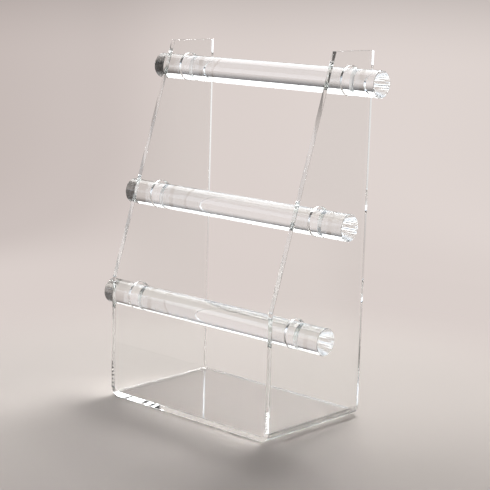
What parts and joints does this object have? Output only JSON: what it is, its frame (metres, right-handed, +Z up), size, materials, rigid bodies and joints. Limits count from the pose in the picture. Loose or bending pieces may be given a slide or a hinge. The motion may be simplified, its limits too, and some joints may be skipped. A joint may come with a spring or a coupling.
{
  "type": "bracelet display stand",
  "caption": "Clear acrylic counter stand: one sheet bent into a U with tapering sides, and solid round rods that slide through its side panels to carry bracelets.",
  "frame": {"origin": "under the middle of the base, on the surface that the stand rests on", "axes": "X along the rods, +Y from the front of the stand to its back, +Z up"},
  "size_m": [0.28, 0.13, 0.35],
  "materials": {
    "clear_sheet": "clear colourless cast acrylic sheet, polished edges",
    "clear_rod": "clear colourless solid acrylic rod, polished ends"
  },
  "bodies": {
    "frame": {"bent_frame": "clear_sheet"},
    "bottom_rod": {"bottom_rod": "clear_rod"},
    "middle_rod": {"middle_rod": "clear_rod"},
    "top_rod": {"top_rod": "clear_rod"}
  },
  "joints": [
    {"name": "bottom_rod_slide", "type": "slide", "parent": "frame", "child": "bottom_rod", "axis": [1, 0, 0], "range_m": [-0.24, 0.24]},
    {"name": "middle_rod_slide", "type": "slide", "parent": "frame", "child": "middle_rod", "axis": [1, 0, 0], "range_m": [-0.24, 0.24]},
    {"name": "top_rod_slide", "type": "slide", "parent": "frame", "child": "top_rod", "axis": [1, 0, 0], "range_m": [-0.24, 0.24]}
  ]
}
